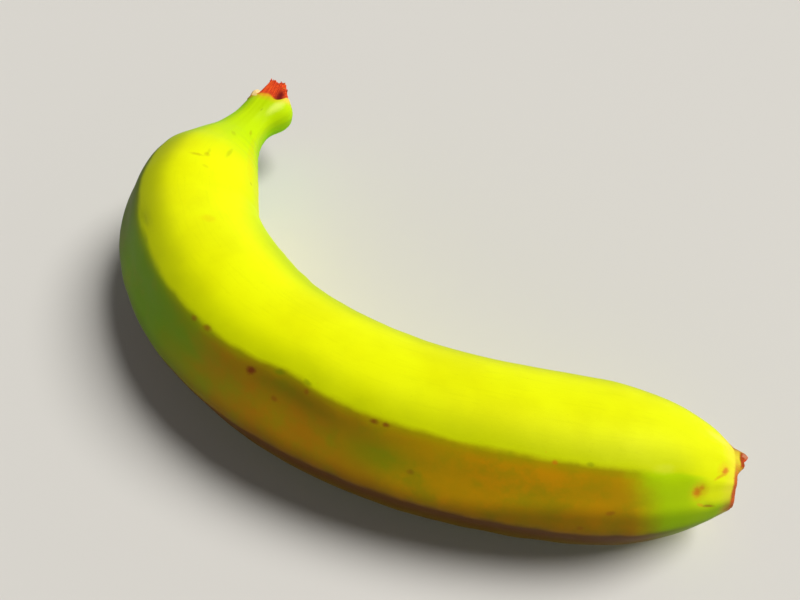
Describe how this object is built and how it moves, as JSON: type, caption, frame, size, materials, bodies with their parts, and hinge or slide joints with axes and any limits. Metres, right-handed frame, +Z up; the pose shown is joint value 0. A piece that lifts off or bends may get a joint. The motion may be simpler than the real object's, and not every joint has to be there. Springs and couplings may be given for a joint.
{
  "type": "banana",
  "caption": "Curved five-sided banana with its stem and blossom end, lying on its side, green-yellow peel turning ripe.",
  "frame": {"origin": "on the surface the fruit lies on, under the middle of its box", "axes": "+X runs along the chord from the torn stem end to the blossom end, the bend bulges to -Y, and +Z is up"},
  "size_m": [0.1756, 0.0836, 0.0365],
  "materials": {
    "peel": "satin"
  },
  "bodies": {
    "root": {"banana": "peel"}
  },
  "joints": []
}
